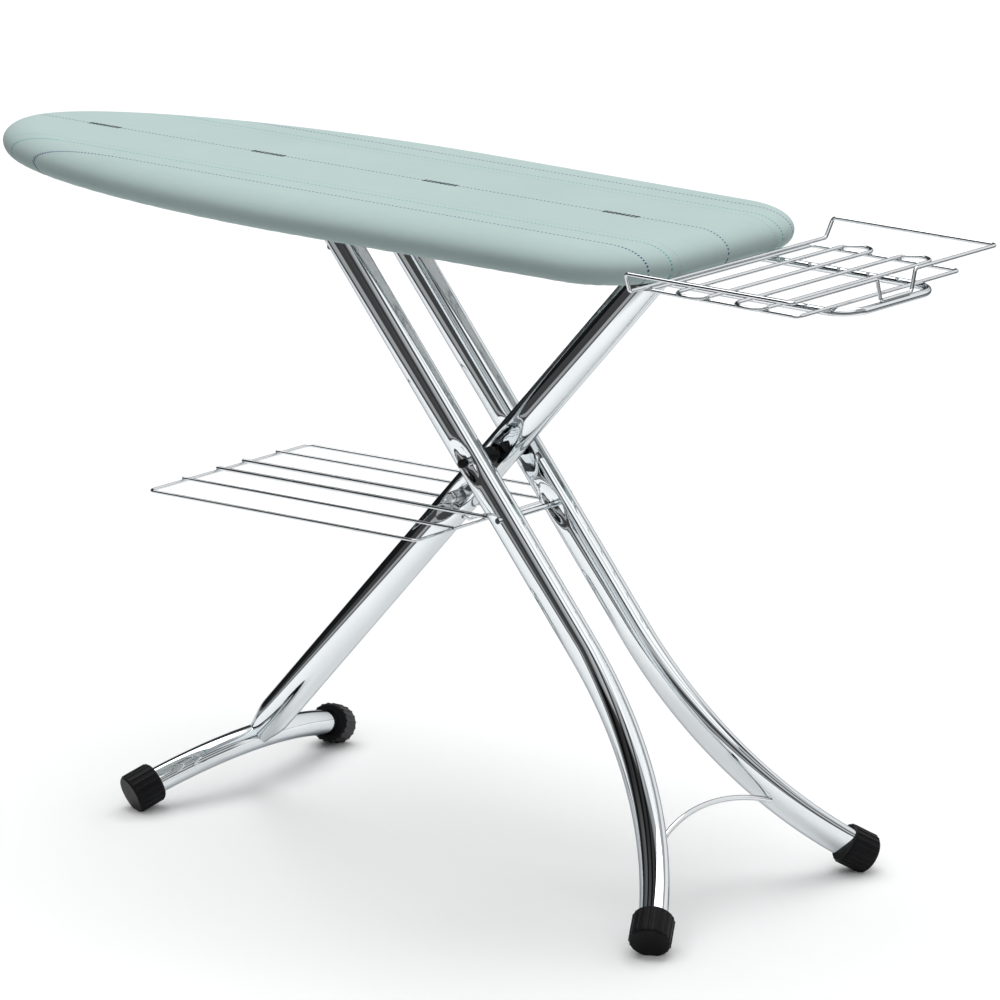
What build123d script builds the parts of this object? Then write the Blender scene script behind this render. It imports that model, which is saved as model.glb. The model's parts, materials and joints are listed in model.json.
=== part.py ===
from build123d import *
import os
from math import acos, asin, cos, degrees, radians, sin, sqrt

# Folding ironing board. +X points to the iron rest, +Z up, the floor is z = 0, and the origin is
# under the middle of the whole object. The board is the fixed body: the rear leg is hinged under
# its tail, the two front rails cross the rear leg at the main pivot, and their top axle runs in
# tracks under the board. Both upper arms are equally long, so the linkage folds symmetrically.

# ---------------------------------------------------------------- driving dimensions (mm)
BOARD_LENGTH = 1257.5
BOARD_WIDTH = 446.0
BOARD_TOP = 894.0            # height of the ironing surface
NOSE_LENGTH = 674.0          # length of the elliptical nose
TAIL_WIDTH = 424.0           # width where the tail corners start
TAIL_CORNER = 113.0
REST_REACH = 265.5           # how far the iron rest stands out past the tail

PIVOT_FROM_NOSE = 876.2
PIVOT_HEIGHT = 543.5
UPPER_ARM = 385.0            # main pivot to board hinge, and to top axle
FRONT_LEAN = 49.7            # degrees from the floor
REAR_LEAN = 47.25

LEG_DEEP = 50.0              # oval leg tube, across in the folding plane
LEG_WIDE = 30.0              # oval leg tube, across in Y
LEG_WALL = 1.5
LEG_END = 22.0               # tube past its top axle
RAIL_OFFSET = 54.0           # centre of each front rail from the middle
FRONT_BEND_RADIUS = 522.0
FRONT_BEND_ANGLE = 48.3

FOOT_TUBE = 36.0             # round cross tube of the rear foot
FOOT_RADIUS = 441.0
FOOT_HALF_SPAN = 210.0
CAP_RADIUS = 28.0
CAP_LENGTH = 42.0
CAP_END = 5.0                # rubber past the tube's end
CAP_FLAT = 4.0               # how far a cap is cut back where it meets the floor

AXLE = 10.0                  # main axle, top axle and board hinge pin
PIN = 6.0
FIT = 0.1                    # radial clearance of a pin in its hole
WELD = 0.2                   # how far two welded wires sink into each other
RUN = 0.3                    # clearance between parts that slide
STRETCHER = 7.0
STRETCHER_HEIGHT = 109.0
STRETCHER_RISE = 26.0
CROSS_ROD = 8.0
SHELF_PIN_ARM = 90.0         # main pivot to the shelf pin and to the cross rod
FOLDED_BASE_ANGLE = 10.0     # degrees left between each upper arm and the line of pins when folded

COVER_THICK = 2.2
PAD_TOP = 9.5
PAD_SIDE = 11.0
EDGE_DEPTH = 46.0            # padded edge, top to underside
EDGE_TOP_ROUND = 23.0
EDGE_LOW_ROUND = 17.0
HEM_WIDTH = 34.0             # cover turned in under the rim
SHEET = 1.2
HOLE_PITCH = 38.0
HOLE = 22.0

SHELF_WIDTH = 323.0
SHELF_WIRE = 4.4
SHELF_THICK_WIRE = 5.6
SHELF_LEFT = 425.5           # reach of the shelf from its pin towards the nose
SHELF_RIGHT = 54.7
SHELF_DROP = 21.5            # wires hang this far under the pin at the right end
SHELF_TILT = 1.6             # degrees, rising towards the right
SHELF_CORNER = 9.0

REST_TUBE = 10.0
REST_TUBE_HALF = 95.3
REST_TUBE_Z = 842.4
REST_TUBE_CORNER = 38.0
REST_TUBE_INSIDE = 330.0     # length of the slide tube hidden under the board
REST_WIRE = 5.0
REST_HALF_WIDTH = 167.6
REST_GAP = 4.5               # tail to the base frame
REST_BASE_LENGTH = 233.0
FENCE_HALF_WIDTH = 213.6
FENCE_HEIGHT = 25.0          # raised part of the fence over its low part
FENCE_DIP_HALF = 32.0
HAIRPIN_WIDTH = 46.0
HAIRPIN_PITCH = 92.0
HAIRPIN_FROM_BASE = 71.0
HAIRPIN_OVER = 17.0

# ---------------------------------------------------------------- places that follow
nose_x = -(BOARD_LENGTH + REST_REACH) / 2
tail_x = nose_x + BOARD_LENGTH
rest_end_x = tail_x + REST_REACH
pivot = Vector(nose_x + PIVOT_FROM_NOSE, 0, PIVOT_HEIGHT)
down_front = Vector(cos(radians(FRONT_LEAN)), 0, -sin(radians(FRONT_LEAN)))
up_rear = Vector(cos(radians(REAR_LEAN)), 0, sin(radians(REAR_LEAN)))
top_axle_at = pivot - down_front * UPPER_ARM
board_hinge_at = pivot + up_rear * UPPER_ARM
cross_rod_at = pivot + down_front * SHELF_PIN_ARM
shelf_pin_at = pivot - up_rear * SHELF_PIN_ARM

pin_line = (board_hinge_at - top_axle_at).normalized()
line_tilt = degrees(asin(-pin_line.Z))
span_rest = (board_hinge_at - top_axle_at).length
base_angle_rest = degrees(acos(span_rest / 2 / UPPER_ARM))
fold_half = base_angle_rest - FOLDED_BASE_ANGLE
span_folded = 2 * UPPER_ARM * cos(radians(FOLDED_BASE_ANGLE))
slide_travel = span_folded - span_rest

edge_low_z = BOARD_TOP - EDGE_DEPTH
sheet_top_z = BOARD_TOP - COVER_THICK - RUN - PAD_TOP - RUN
sheet_low_z = sheet_top_z - SHEET
rim_low_z = edge_low_z + COVER_THICK + RUN + 2.0
rim_inset = COVER_THICK + RUN + PAD_SIDE + RUN

os.makedirs("parts", exist_ok=True)
nodes = {}


def keep(name, shape):
    """Writes one node; a list becomes a group of separate solids."""
    if isinstance(shape, list):
        shape = Compound(children=[s for part in shape for s in part.solids()])
    nodes[name] = shape
    export_step(shape, f"parts/{name}.step")


def both_sides(shape):
    return [shape, shape.mirror(Plane.XZ)]


def block(x0, x1, y0, y1, z0, z1):
    size = (x1 - x0, y1 - y0, z1 - z0)
    centre = ((x0 + x1) / 2, (y0 + y1) / 2, (z0 + z1) / 2)
    return Pos(*centre) * Box(*size)


def pin_y(at, radius, y0, y1):
    """A round bar along Y."""
    middle = Pos(at.X, (y0 + y1) / 2, at.Z)
    return middle * Rot(90, 0, 0) * Cylinder(radius, y1 - y0)


def washer_y(at, radius, bore, y0, y1):
    return pin_y(at, radius, y0, y1) - pin_y(at, bore, y0 - 1, y1 + 1)


def bent(points, bend, diameter, close=False):
    """A wire of one diameter along straight runs joined by tangent arcs."""
    path = FilletPolyline(*points, radius=bend, close=close)
    section = Plane(origin=path @ 0, z_dir=path % 0) * Circle(diameter / 2)
    return sweep(section, path=path)


# ---------------------------------------------------------------- board
def outline(inset=0.0):
    """Half-elliptical nose, a slight taper and rounded tail corners, drawn in by the inset."""
    half = BOARD_WIDTH / 2 - inset
    tail_half = TAIL_WIDTH / 2 - inset
    corner = TAIL_CORNER - inset
    nose_end = nose_x + NOSE_LENGTH
    corner_x = tail_x - TAIL_CORNER
    corner_y = tail_half - corner
    turn = 90 - degrees(asin((half - tail_half) / (corner_x - nose_end)))
    nose = [EllipticalCenterArc((nose_end, 0), NOSE_LENGTH - inset, half, start_angle=start, arc_size=90)
            for start in (90, 180)]
    corners = [CenterArc((corner_x, corner_y), corner, 0, turn),
               CenterArc((corner_x, -corner_y), corner, -turn, turn)]
    sides = [Line((nose_end, half), corners[0] @ 1), Line((nose_end, -half), corners[1] @ 0)]
    tail = Line(corners[0] @ 0, corners[1] @ 1)
    return make_face(Curve() + nose + corners + sides + [tail])


def slab(inset, z0, z1):
    return extrude(Pos(0, 0, z0) * outline(inset), z1 - z0)


def rounded_slab(inset, z0, z1, top_round, low_round):
    body = slab(inset, z0, z1)
    faces = body.faces().sort_by(Axis.Z)
    body = fillet(faces[-1].edges(), top_round)
    if low_round:
        body = fillet(body.faces().sort_by(Axis.Z)[0].edges(), low_round)
    return body


def make_cover():
    outer = rounded_slab(0, edge_low_z, BOARD_TOP, EDGE_TOP_ROUND, EDGE_LOW_ROUND)
    inner = rounded_slab(COVER_THICK, edge_low_z + COVER_THICK, BOARD_TOP - COVER_THICK,
                         EDGE_TOP_ROUND - COVER_THICK, EDGE_LOW_ROUND - COVER_THICK)
    return outer - inner - slab(HEM_WIDTH, edge_low_z - 5, edge_low_z + COVER_THICK + 5)


def make_pad():
    gap = COVER_THICK + RUN
    outer = rounded_slab(gap, edge_low_z + gap, BOARD_TOP - gap,
                         EDGE_TOP_ROUND - gap, EDGE_LOW_ROUND - gap)
    inside = slab(rim_inset - RUN, edge_low_z + 14, sheet_top_z + RUN)
    return outer - inside - slab(HEM_WIDTH - 8, edge_low_z, edge_low_z + 20)


def make_rim():
    wall = slab(rim_inset, rim_low_z + 10, sheet_low_z) - slab(rim_inset + 2, rim_low_z, sheet_top_z)
    bead = slab(rim_inset, rim_low_z + 10, rim_low_z + 18) - slab(rim_inset + 8, rim_low_z, sheet_top_z)
    return wall + bead


def make_sheet():
    plate = slab(rim_inset, sheet_low_z, sheet_top_z)
    keep_in = outline(rim_inset + HOLE)
    half = BOARD_WIDTH / 2
    rows = int(half / (HOLE_PITCH * 0.866))
    columns = int(BOARD_LENGTH / HOLE_PITCH) + 1
    holes = []
    for row in range(-rows, rows + 1):
        for column in range(columns):
            x = nose_x + (column + 0.5 * (row % 2)) * HOLE_PITCH
            y = row * HOLE_PITCH * 0.866
            if keep_in.is_inside(Vector(x, y, 0)):
                holes.append(Pos(x, y, sheet_low_z) * RegularPolygon(HOLE / 2, 6))
    return plate - extrude(Sketch(children=holes), SHEET)




keep("cover", make_cover())
keep("foam_pad", make_pad())
keep("deck_rim", make_rim())
keep("deck_sheet", make_sheet())

# ---------------------------------------------------------------- tracks for the top axle
SHOE_HIGH = 20.0
SHOE_LONG = 34.0
SHOE_WIDE = 12.0
track_in = RAIL_OFFSET + LEG_WIDE / 2 + 6.0
track_web = track_in + SHOE_WIDE + RUN
TRACK_WALL = 2.0


def on_line(distance, above=0.0):
    """A point on the line of pins, measured from the top axle towards the board hinge."""
    normal = Vector(-pin_line.Z, 0, pin_line.X)
    return top_axle_at + pin_line * distance + normal * above


def line_box(start, end, y0, y1, low, high):
    """A box whose long side follows the line of pins."""
    centre = on_line((start + end) / 2, (low + high) / 2)
    body = Box(end - start, y1 - y0, high - low)
    return Pos(centre.X, (y0 + y1) / 2, centre.Z) * Rot(0, line_tilt, 0) * body


def make_track():
    start = -slide_travel - SHOE_LONG
    end = SHOE_LONG
    inside = SHOE_HIGH / 2 + RUN
    outside = inside + TRACK_WALL
    web = block(on_line(start).X, on_line(end).X, track_web, track_web + TRACK_WALL,
                on_line(end, -outside).Z, sheet_low_z)
    foot = block(on_line(start).X, on_line(end).X, track_web, track_web + 16,
                 sheet_low_z - TRACK_WALL, sheet_low_z)
    low = line_box(start, end, track_in, track_web + TRACK_WALL, -outside, -inside)
    high = line_box(start, end, track_in, track_web + TRACK_WALL, inside, outside)
    trim = block(on_line(start).X - 50, on_line(end).X + 50, 0, 200, 0, on_line(start, -outside).Z)
    return web + foot + low + high - (trim - line_box(start - 60, end + 60, 0, 200, -outside, 80))


track = make_track()
keep("track_near", track.mirror(Plane.XZ))
keep("track_far", track)

ROD = 8.0
ROD_ABOVE = 25.0
rod_start = -slide_travel - 64
rod_end = 40.0
BRACKET = 3.0


def line_rod(start, end, above, radius):
    centre = on_line((start + end) / 2, above)
    return Pos(centre.X, 0, centre.Z) * Rot(0, 90 + line_tilt, 0) * Cylinder(radius, end - start)


def rod_bracket(distance):
    at = on_line(distance, ROD_ABOVE)
    ear = block(at.X - BRACKET / 2, at.X + BRACKET / 2, -14, 14, at.Z - 9, sheet_low_z)
    ear = ear + block(at.X - 12, at.X + 12, -14, 14, sheet_low_z - 2, sheet_low_z)
    return ear - line_rod(distance - 20, distance + 20, ROD_ABOVE, ROD / 2 + FIT)


keep("guide_rod", line_rod(rod_start, rod_end, ROD_ABOVE, ROD / 2))
keep("guide_rod_brackets", [rod_bracket(rod_start + 6), rod_bracket(rod_end - 6)])

# ---------------------------------------------------------------- front legs
leg_top = UPPER_ARM + LEG_END
bend_sin = sin(radians(FRONT_BEND_ANGLE))
bend_cos = cos(radians(FRONT_BEND_ANGLE))
front_fall = bend_cos * sin(radians(FRONT_LEAN))      # sine of the cap's dip below level
front_cap_z = CAP_RADIUS * sqrt(1 - front_fall ** 2) - CAP_FLAT
front_reach = (PIVOT_HEIGHT - front_cap_z) / sin(radians(FRONT_LEAN)) - CAP_END * bend_cos
front_straight = front_reach - FRONT_BEND_RADIUS * bend_sin
front_plane = Plane(origin=pivot, x_dir=down_front, z_dir=down_front.cross(Vector(0, 1, 0)))


def front_path(extra=0.0):
    start = (-leg_top, RAIL_OFFSET)
    knee = (front_straight, RAIL_OFFSET)
    centre = (front_straight, RAIL_OFFSET + FRONT_BEND_RADIUS)
    return front_plane * (Curve() + [Line(start, knee),
                                     CenterArc(centre, FRONT_BEND_RADIUS, -90, FRONT_BEND_ANGLE)])


def oval_section(path, shrink, deep_axis):
    at = Plane(origin=path @ 0, z_dir=path % 0, x_dir=deep_axis)
    return at * Ellipse(LEG_DEEP / 2 - shrink, LEG_WIDE / 2 - shrink)


def make_rail():
    path = front_path()
    outer = sweep(oval_section(path, 0, front_plane.z_dir), path=path)
    inner = sweep(oval_section(path, LEG_WALL, front_plane.z_dir), path=path)
    tube = outer - inner
    for at, diameter in ((pivot, AXLE), (top_axle_at, AXLE), (cross_rod_at, CROSS_ROD)):
        tube -= pin_y(at, diameter / 2 + FIT, RAIL_OFFSET - LEG_WIDE, RAIL_OFFSET + LEG_WIDE)
    return tube


def ribbed_cap(end, direction, bore_section):
    """Rubber cap over a tube's end: a ribbed barrel, cut flat where it stands on the floor."""
    start = end - direction * (CAP_LENGTH - CAP_END)
    at = Plane(origin=start, z_dir=direction)
    barrel = extrude(at * Circle(CAP_RADIUS - 1.2), CAP_LENGTH)
    barrel = chamfer(barrel.edges().filter_by(GeomType.CIRCLE), 2.0)
    ribs = []
    count = 20
    for k in range(count):
        turn = Rot(0, 0, 360 * k / count)
        ribs.append(turn * Pos(CAP_RADIUS - 2.2, 0, CAP_LENGTH / 2) * Cylinder(2.2, CAP_LENGTH - 6))
    barrel = barrel + [at.location * r for r in ribs]
    barrel -= bore_section
    half = CAP_RADIUS * 3
    return barrel - block(end.X - half, end.X + half, end.Y - half, end.Y + half, -50, 0)


rail = make_rail()
keep("front_leg_near", rail.mirror(Plane.XZ))
keep("front_leg_far", rail)

front_end = front_plane.from_local_coords(
    Vector(front_reach, RAIL_OFFSET + FRONT_BEND_RADIUS * (1 - bend_cos), 0))
front_out = down_front * bend_cos + Vector(0, 1, 0) * bend_sin
front_bore = sweep(oval_section(front_path(), -FIT, front_plane.z_dir), path=front_path())
front_cap = ribbed_cap(front_end, front_out, front_bore)
keep("front_cap_near", front_cap.mirror(Plane.XZ))
keep("front_cap_far", front_cap)


def make_leg_plug():
    at = Plane(origin=top_axle_at + Vector(0, RAIL_OFFSET, 0) - down_front * LEG_END,
               z_dir=-down_front, x_dir=front_plane.z_dir)
    lid = extrude(at * Ellipse(LEG_DEEP / 2, LEG_WIDE / 2), 3)
    neck = extrude(at * Ellipse(LEG_DEEP / 2 - LEG_WALL - FIT, LEG_WIDE / 2 - LEG_WALL - FIT), -10)
    return lid + neck


plug = make_leg_plug()
keep("leg_plug_near", plug.mirror(Plane.XZ))
keep("leg_plug_far", plug)

keep("top_axle", pin_y(top_axle_at, AXLE / 2, -track_web + 1, track_web - 1))
keep("cross_rod", pin_y(cross_rod_at, CROSS_ROD / 2,
                        -RAIL_OFFSET - LEG_WIDE / 2 - 4, RAIL_OFFSET + LEG_WIDE / 2 + 4))


def make_stretcher():
    """Thin arch between the rails' inner sides, in the plane of the front legs."""
    s = (PIVOT_HEIGHT - STRETCHER_HEIGHT) / sin(radians(FRONT_LEAN))
    bow = s - front_straight
    y = RAIL_OFFSET + FRONT_BEND_RADIUS - sqrt(FRONT_BEND_RADIUS ** 2 - bow ** 2)
    slope = asin(bow / FRONT_BEND_RADIUS)
    y_in = y - (LEG_WIDE / 2 - 0.4) / cos(slope)
    path = front_plane * ThreePointArc((s, -y_in), (s - STRETCHER_RISE, 0), (s, y_in))
    at = Plane(origin=path @ 0, z_dir=path % 0)
    return sweep(at * Circle(STRETCHER / 2), path=path)


keep("front_stretcher", make_stretcher())

# ---------------------------------------------------------------- rear leg
foot_angle = asin(FOOT_HALF_SPAN / FOOT_RADIUS)
foot_drop = FOOT_RADIUS * (1 - cos(foot_angle))
rear_fall = sin(foot_angle) * sin(radians(REAR_LEAN))
foot_centre_z = (CAP_RADIUS * sqrt(1 - rear_fall ** 2) - CAP_FLAT + CAP_END * rear_fall
                 + foot_drop * sin(radians(REAR_LEAN)))
rear_lower = (PIVOT_HEIGHT - foot_centre_z) / sin(radians(REAR_LEAN))
foot_centre = pivot - up_rear * rear_lower
rear_plane = Plane(origin=pivot, x_dir=up_rear, z_dir=up_rear.cross(Vector(0, 1, 0)))


def foot_path():
    far = FOOT_HALF_SPAN
    low = -rear_lower - foot_drop
    return rear_plane * ThreePointArc((low, -far), (-rear_lower, 0), (low, far))


def make_foot_tube():
    path = foot_path()
    at = Plane(origin=path @ 0, z_dir=path % 0)
    outer = sweep(at * Circle(FOOT_TUBE / 2), path=path)
    return outer - sweep(at * Circle(FOOT_TUBE / 2 - LEG_WALL), path=path), outer


foot_tube, foot_solid = make_foot_tube()
keep("foot_tube", foot_tube)


def make_rear_tube():
    path = Line(pivot - up_rear * rear_lower, pivot + up_rear * (UPPER_ARM + LEG_END))
    outer = sweep(oval_section(path, 0, rear_plane.z_dir), path=path)
    inner = sweep(oval_section(path, LEG_WALL, rear_plane.z_dir), path=path)
    tube = outer - inner - foot_solid
    tube = tube.solids().sort_by(SortBy.VOLUME)[-1]
    for at, diameter in ((pivot, AXLE), (board_hinge_at, AXLE), (shelf_pin_at, PIN)):
        tube -= pin_y(at, diameter / 2 + FIT, -LEG_WIDE, LEG_WIDE)
    return tube


keep("rear_leg_tube", make_rear_tube())

foot_end = rear_plane.from_local_coords(Vector(-rear_lower - foot_drop, FOOT_HALF_SPAN, 0))
foot_out = Vector(0, 1, 0) * cos(foot_angle) - up_rear * sin(foot_angle)
foot_bore_path = foot_path()
foot_bore = sweep(Plane(origin=foot_bore_path @ 0, z_dir=foot_bore_path % 0)
                  * Circle(FOOT_TUBE / 2 + FIT), path=foot_bore_path)
rear_cap = ribbed_cap(foot_end, foot_out, foot_bore)
keep("rear_cap_near", rear_cap.mirror(Plane.XZ))
keep("rear_cap_far", rear_cap)


def make_rear_plug():
    at = Plane(origin=pivot + up_rear * (UPPER_ARM + LEG_END), z_dir=up_rear, x_dir=rear_plane.z_dir)
    lid = extrude(at * Ellipse(LEG_DEEP / 2, LEG_WIDE / 2), 3)
    neck = extrude(at * Ellipse(LEG_DEEP / 2 - LEG_WALL - FIT, LEG_WIDE / 2 - LEG_WALL - FIT), -10)
    return lid + neck


keep("rear_leg_plug", make_rear_plug())

# main pivot: axle fixed in the rear leg, spacers beside it, domed heads outside the rails
rail_outer = RAIL_OFFSET + LEG_WIDE / 2
rail_inner = RAIL_OFFSET - LEG_WIDE / 2
HEAD = 6.0
SPACER_RADIUS = 12.0
keep("main_axle", pin_y(pivot, AXLE / 2, -rail_outer - 6, rail_outer + 6))
keep("pivot_spacers", both_sides(
    washer_y(pivot, SPACER_RADIUS, AXLE / 2 + FIT, LEG_WIDE / 2 + RUN, rail_inner - RUN)))


def axle_cap():
    head = pin_y(pivot, HEAD, rail_outer + RUN, rail_outer + 11)
    head = fillet(head.edges().sort_by(Axis.Y)[-1], 3)
    return head - pin_y(pivot, AXLE / 2 + FIT, 0, rail_outer + 6 + FIT)


keep("axle_cap_near", axle_cap().mirror(Plane.XZ))
keep("axle_cap_far", axle_cap())

# board hinge: U bracket under the deck, pin through both ears and the rear leg
EAR = 3.0
ear_in = LEG_WIDE / 2 + 1.5


def make_hinge_bracket():
    at = board_hinge_at
    ear = block(at.X - 22, at.X + 22, ear_in, ear_in + EAR, at.Z, sheet_low_z)
    ear += pin_y(at, 22, ear_in, ear_in + EAR)
    flange = block(at.X - 22, at.X + 22, ear_in, ear_in + 22, sheet_low_z - EAR, sheet_low_z)
    side = ear + flange - pin_y(at, AXLE / 2 + FIT, 0, 40)
    return [side, side.mirror(Plane.XZ)]


keep("hinge_bracket", make_hinge_bracket())
keep("hinge_pin", pin_y(board_hinge_at, AXLE / 2, -ear_in - EAR - 4, ear_in + EAR + 4))
keep("hinge_clips", both_sides(
    washer_y(board_hinge_at, 8.5, AXLE / 2 + FIT, ear_in + EAR + RUN, ear_in + EAR + 2.3)))

# ---------------------------------------------------------------- slider carriage and height lock
CARRIAGE_HALF = 21.0
SLOT_HALF = 17.5
LEVER_THICK = 3.0
LEVER_HALF = 12.0
LEVER_PIN = 4.0
lever_at = -34.0
lever_pin_at = on_line(lever_at, ROD_ABOVE - 12)


def make_carriage():
    """Block on the guide rod; the top axle turns in it and the lock lever hangs in its slot."""
    body = line_box(-46, 22, -CARRIAGE_HALF, CARRIAGE_HALF, -12, ROD_ABOVE + 11)
    body = fillet(body.edges().filter_by(Axis.Y), 4)
    body -= line_rod(-80, 60, ROD_ABOVE, ROD / 2 + RUN)
    body -= pin_y(top_axle_at, AXLE / 2 + FIT, -40, 40)
    body -= line_box(lever_at - 6, lever_at + 6, -SLOT_HALF, SLOT_HALF, -20, ROD_ABOVE + 8)
    return body - pin_y(lever_pin_at, LEVER_PIN / 2 + FIT, -40, 40)


keep("lock_carriage", make_carriage())


def make_shoe():
    shoe = line_box(-SHOE_LONG / 2, SHOE_LONG / 2, track_in, track_in + SHOE_WIDE,
                    -SHOE_HIGH / 2, SHOE_HIGH / 2)
    shoe = fillet(shoe.edges().filter_by(Axis.Y), 3)
    return shoe - pin_y(top_axle_at, AXLE / 2 + FIT, track_in - 5, track_web + 5)


shoe = make_shoe()
keep("slider_shoe_near", shoe.mirror(Plane.XZ))
keep("slider_shoe_far", shoe)

keep("lever_pin", pin_y(lever_pin_at, LEVER_PIN / 2, -CARRIAGE_HALF, CARRIAGE_HALF))


def make_lever():
    """Canting plate: its hole bites the guide rod, and pulling the grip squares it and frees it."""
    half = LEVER_THICK / 2
    plate = line_box(lever_at - half, lever_at + half, -LEVER_HALF, LEVER_HALF, -52, ROD_ABOVE + 6)
    eye = pin_y(lever_pin_at, LEVER_PIN, -8, 8)
    plate = plate + eye
    plate -= line_rod(lever_at - 20, lever_at + 20, ROD_ABOVE, ROD / 2 + 0.7)
    return plate - pin_y(lever_pin_at, LEVER_PIN / 2 + FIT, -40, 40)


def make_grip():
    grip = line_box(lever_at - 5.5, lever_at + 5.5, -LEVER_HALF - 4, LEVER_HALF + 4, -58, -20)
    grip = fillet(grip.edges(), 4)
    half = LEVER_THICK / 2 + FIT
    return grip - line_box(lever_at - half, lever_at + half, -LEVER_HALF - FIT, LEVER_HALF + FIT,
                           -52 - FIT, -19)


keep("lock_lever", make_lever())
keep("lever_grip", make_grip())


def make_spring():
    """Torsion spring on the lever pin, beside the plate's eye."""
    coil = Helix(pitch=1.3, height=3.6, radius=LEVER_PIN / 2 + 1.0)
    wire = sweep(Plane(origin=coil @ 0, z_dir=coil % 0) * Circle(0.5), path=coil, is_frenet=True)
    return Pos(lever_pin_at.X, LEVER_HALF + 0.8, lever_pin_at.Z) * Rot(-90, 0, 0) * wire


keep("lever_spring", make_spring())

# ribs under the deck, placed beside what hangs between them
rib_places = [nose_x + 205,
              on_line(rod_start).X - 24,
              on_line(SHOE_LONG).X + 40,
              (on_line(SHOE_LONG).X + 40 + board_hinge_at.X - 111) / 2,
              board_hinge_at.X - 111]
inside_rim = slab(rim_inset + 8 + RUN, sheet_low_z - 20, sheet_low_z + 5)


def make_rib(x):
    reach = BOARD_WIDTH
    bar = block(x - 12, x + 12, -reach, reach, sheet_low_z - 12, sheet_low_z)
    bar -= block(x - 10.5, x + 10.5, -reach, reach, sheet_low_z - 12, sheet_low_z - 1.5)
    return bar & inside_rim


keep("deck_ribs", [make_rib(x) for x in rib_places])

# ---------------------------------------------------------------- wire shelf
shelf_plane = Plane(origin=shelf_pin_at, x_dir=(cos(radians(SHELF_TILT)), 0, sin(radians(SHELF_TILT))),
                    z_dir=(-sin(radians(SHELF_TILT)), 0, cos(radians(SHELF_TILT))))
shelf_level = -SHELF_DROP - SHELF_RIGHT * sin(radians(SHELF_TILT))
SHELF_THICK_Y = 26.0
SHELF_THIN_Y = 95.0
STEM = 4.2
BAR_INSIDE = 0.5             # bars end this far inside the middle of the left cross wire


def shelf_wire(points, bend, diameter, close=False):
    return bent([shelf_plane.from_local_coords(Vector(*p)) for p in points], bend, diameter, close)


def make_shelf_frame():
    y = SHELF_WIDTH / 2
    z = shelf_level
    middle = (SHELF_RIGHT - SHELF_LEFT) / 2
    half = [(middle, -y, z), (-SHELF_LEFT, -y, z), (-SHELF_LEFT, y, z), (middle, y, z)]
    other = [(middle, -y, z), (SHELF_RIGHT, -y, z), (SHELF_RIGHT, y, z), (middle, y, z)]
    return shelf_wire(half, SHELF_CORNER, SHELF_WIRE) + shelf_wire(other, SHELF_CORNER, SHELF_WIRE)


def shelf_bar(y, x0, x1, z, diameter):
    start, end = (shelf_plane.from_local_coords(Vector(x, y, z)) for x in (x0, x1))
    middle = (start + end) / 2
    turned = Rot(0, 90 - SHELF_TILT, 0)
    return Pos(middle.X, middle.Y, middle.Z) * turned * Cylinder(diameter / 2, (end - start).length)


def make_thick_bar(y):
    """Thick wire on top of both cross wires, hung from the shelf pin by a welded eye."""
    z = shelf_level + (SHELF_WIRE + SHELF_THICK_WIRE) / 2 - WELD
    bar = shelf_bar(y, BAR_INSIDE - SHELF_LEFT, SHELF_RIGHT + 12, z, SHELF_THICK_WIRE)
    ring = PIN / 2 + FIT + SHELF_WIRE / 2
    eye = Pos(shelf_pin_at.X, y, shelf_pin_at.Z) * Rot(90, 0, 0) * Torus(ring, SHELF_WIRE / 2)
    foot = shelf_plane.from_local_coords(Vector(0, y, z))
    top = shelf_pin_at.Z - ring
    stem = Pos(foot.X, y, (foot.Z + top) / 2) * Cylinder(STEM / 2, top - foot.Z)
    return bar + stem + eye


thin_z = shelf_level + SHELF_WIRE - WELD
keep("shelf_frame", make_shelf_frame())
keep("shelf_thick_bars", [make_thick_bar(y) for y in (-SHELF_THICK_Y, SHELF_THICK_Y)])
keep("shelf_thin_bars", [shelf_bar(y, BAR_INSIDE - SHELF_LEFT, SHELF_RIGHT + 6, thin_z, SHELF_WIRE)
                         for y in (-SHELF_THIN_Y, SHELF_THIN_Y)])
TIE_X = 22.0
TIE_WIRE = 4.0
tie_top = shelf_level + (SHELF_WIRE - TIE_WIRE) / 2
tie_low = tie_top - 6.0
tie_half = [(TIE_X, LEG_WIDE / 2 + 1, tie_low), (TIE_X, SHELF_THICK_Y, tie_top),
            (TIE_X, SHELF_THICK_Y + 4, tie_top)]
keep("shelf_tie", shelf_wire([(x, -y, z) for x, y, z in reversed(tie_half)] + tie_half, 2.0,
                             TIE_WIRE))

shelf_pin_end = SHELF_THICK_Y + SHELF_WIRE / 2 + 3.0
keep("shelf_pin", pin_y(shelf_pin_at, PIN / 2, -shelf_pin_end, shelf_pin_end))
tube_side = LEG_WIDE / 2
eye_side = SHELF_THICK_Y - SHELF_WIRE / 2
keep("shelf_washers", both_sides(
    washer_y(shelf_pin_at, 8, PIN / 2 + FIT, tube_side + RUN, eye_side - RUN)))
keep("shelf_pin_nuts", both_sides(
    washer_y(shelf_pin_at, 5.5, PIN / 2, eye_side + SHELF_WIRE + RUN, shelf_pin_end + 1)))

# ---------------------------------------------------------------- iron rest
rest_end = rest_end_x - REST_TUBE / 2
slide_start = tail_x - REST_TUBE_INSIDE


def make_slide_tube():
    y = REST_TUBE_HALF
    z = REST_TUBE_Z
    points = [(slide_start, -y, z), (rest_end, -y, z), (rest_end, y, z), (slide_start, y, z)]
    return bent(points, REST_TUBE_CORNER, REST_TUBE)


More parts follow.
